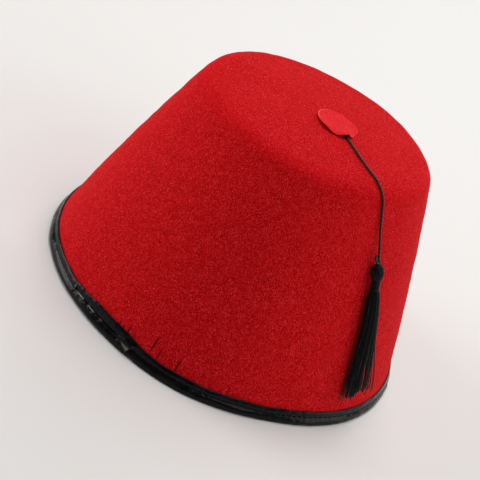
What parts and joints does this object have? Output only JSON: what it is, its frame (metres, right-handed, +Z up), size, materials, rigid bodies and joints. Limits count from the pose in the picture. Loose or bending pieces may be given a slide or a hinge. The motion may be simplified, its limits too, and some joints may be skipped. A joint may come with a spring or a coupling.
{
  "type": "fez hat",
  "caption": "Felt fez with a nearly flat top, a bound rim, a small top disc and a tassel on a thin cord that lies down the wall; open below to be worn on a head.",
  "frame": {"origin": "on the ground under the middle of the rim's outline, the hat standing on its rim", "axes": "+Z up along the hat's own axis; the tassel lies on the side between +X and -Y; +X and +Y lie in the rim's plane"},
  "size_m": [0.1998, 0.2016, 0.1222],
  "materials": {
    "red_felt": "brushed wool-like felt, matt, with short fibres and fine flecks",
    "disc_felt": "thin smoother felt, cut edge a little paler",
    "black_vinyl": "glossy soft vinyl strip, folded and stitched",
    "black_cord": "thin twisted cord, slight sheen",
    "black_thread": "rayon thread, wound and hanging in strands, silky sheen"
  },
  "bodies": {
    "root": {"felt_crown": "red_felt", "rim_binding": "black_vinyl", "top_disc": "disc_felt", "tassel_cord": "black_cord", "cord_knot": "black_cord", "tassel_head": "black_thread", "tassel_neck": "black_thread", "tassel_skirt": "black_thread"}
  },
  "joints": []
}
